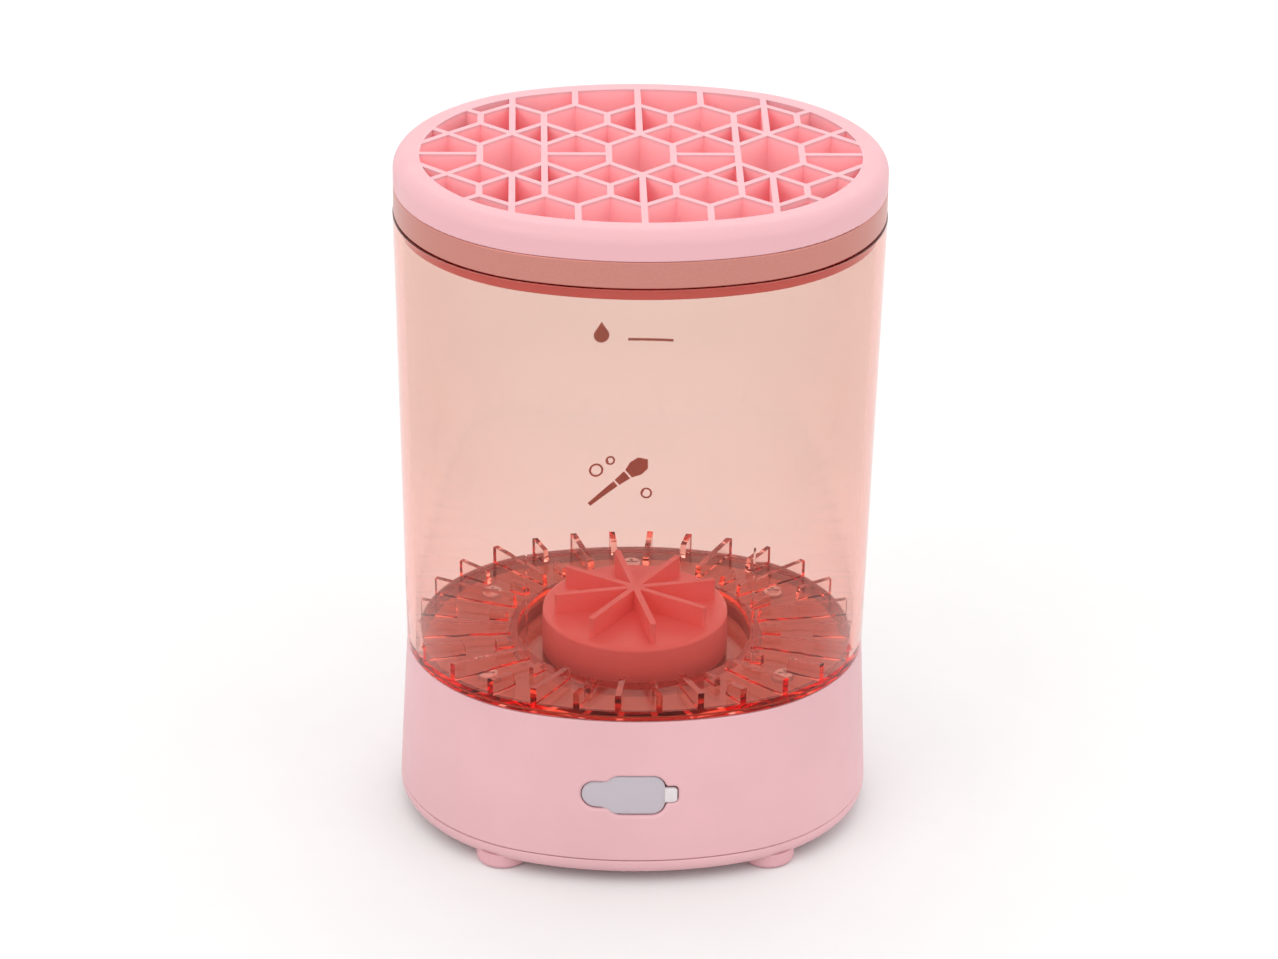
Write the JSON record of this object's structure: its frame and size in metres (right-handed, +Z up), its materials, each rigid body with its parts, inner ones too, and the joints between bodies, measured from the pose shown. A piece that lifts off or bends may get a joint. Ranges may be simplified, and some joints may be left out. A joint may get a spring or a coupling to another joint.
{
  "type": "make-up brush cleaner",
  "caption": "Rechargeable make-up brush cleaner: clear oval cup with a ribbed floor and spinning impeller on a motor base, closed by a soft honeycomb grid lid.",
  "frame": {"origin": "on the table, under the middle of the oval, at the feet's rest plane", "axes": "+Z up through the impeller and the lid, +X along the oval's long side, -Y towards the charging port, +Y towards the power button"},
  "size_m": [0.1104, 0.0904, 0.1619],
  "materials": {
    "pink_shell": "satin moulded ABS",
    "pink_deck": "satin moulded ABS",
    "pink_rubber": "matte silicone",
    "pink_silicone": "soft matte silicone",
    "pink_button": "satin",
    "rose_gold": "pearl rose-gold lacquer",
    "clear_peach": "clear tinted plastic, polished",
    "coral_plastic": "satin coral plastic",
    "port_rubber": "translucent grey-white TPU",
    "grey_seal": "matte",
    "steel": "zinc plated",
    "motor_steel": "plated can",
    "magnet_nickel": "nickel plated",
    "brass_bush": "sintered",
    "cell_wrap": "shrink wrap",
    "black_plastic": "moulded",
    "pcb_green": "solder mask",
    "lead_red": "PVC insulation",
    "lead_black": "PVC insulation",
    "led_white": "diffuse"
  },
  "bodies": {
    "base": {"base_shell": "pink_shell", "bottom_cover": "pink_shell", "rubber_feet": "pink_rubber", "cover_screws": "steel", "base_deck": "pink_deck", "deck_gasket": "grey_seal", "deck_screws": "steel", "port_cover_anchor": "port_rubber", "motor": "motor_steel", "motor_bracket": "steel", "motor_screws": "steel", "bracket_screws": "steel", "battery_cell": "cell_wrap", "battery_holder": "black_plastic", "battery_contacts": "steel", "battery_leads": "lead_red", "motor_leads": "lead_black", "main_pcb": "pcb_green", "pcb_parts": "black_plastic", "pcb_screws": "steel", "usb_socket": "steel", "switch_pcb": "pcb_green", "switch_screws": "steel", "switch_lead": "lead_black", "tact_switch": "black_plastic", "status_led": "led_white", "light_pipe": "led_white"},
    "drive_rotor": {"drive_hub": "black_plastic", "motor_shaft": "steel", "drive_magnets": "magnet_nickel"},
    "cup": {"cup": "clear_peach", "spindle_pin": "steel"},
    "impeller": {"impeller": "coral_plastic", "impeller_bush": "brass_bush", "impeller_magnets": "magnet_nickel"},
    "lid": {"grid_lid": "pink_silicone", "lid_frame": "coral_plastic", "trim_ring": "rose_gold"},
    "power_button": {"power_button": "pink_button"},
    "port_cover": {"port_cover": "port_rubber"}
  },
  "joints": [
    {"name": "drive_spin", "type": "hinge", "parent": "base", "child": "drive_rotor", "pos_m": [0, 0, 0.031], "axis": [0, 0, 1], "continuous": true},
    {"name": "cup_lift", "type": "slide", "parent": "base", "child": "cup", "axis": [0, 0, 1], "range_m": [0, 0.06]},
    {"name": "impeller_spin", "type": "hinge", "parent": "cup", "child": "impeller", "pos_m": [0, 0, 0.045], "axis": [0, 0, 1], "continuous": true},
    {"name": "lid_lift", "type": "slide", "parent": "cup", "child": "lid", "axis": [0, 0, 1], "range_m": [0, 0.04]},
    {"name": "button_press", "type": "slide", "parent": "base", "child": "power_button", "axis": [0, -1, 0], "range_m": [0, 0.0008], "stiffness_N_per_m": 2500},
    {"name": "port_cover_swing", "type": "hinge", "parent": "base", "child": "port_cover", "pos_m": [-0.0062, -0.04335, 0.023], "axis": [0, 0, -1], "range_deg": [0, 120]}
  ],
  "couplings": [
    {"joint": "impeller_spin", "follows": "drive_spin", "ratio": 1}
  ]
}
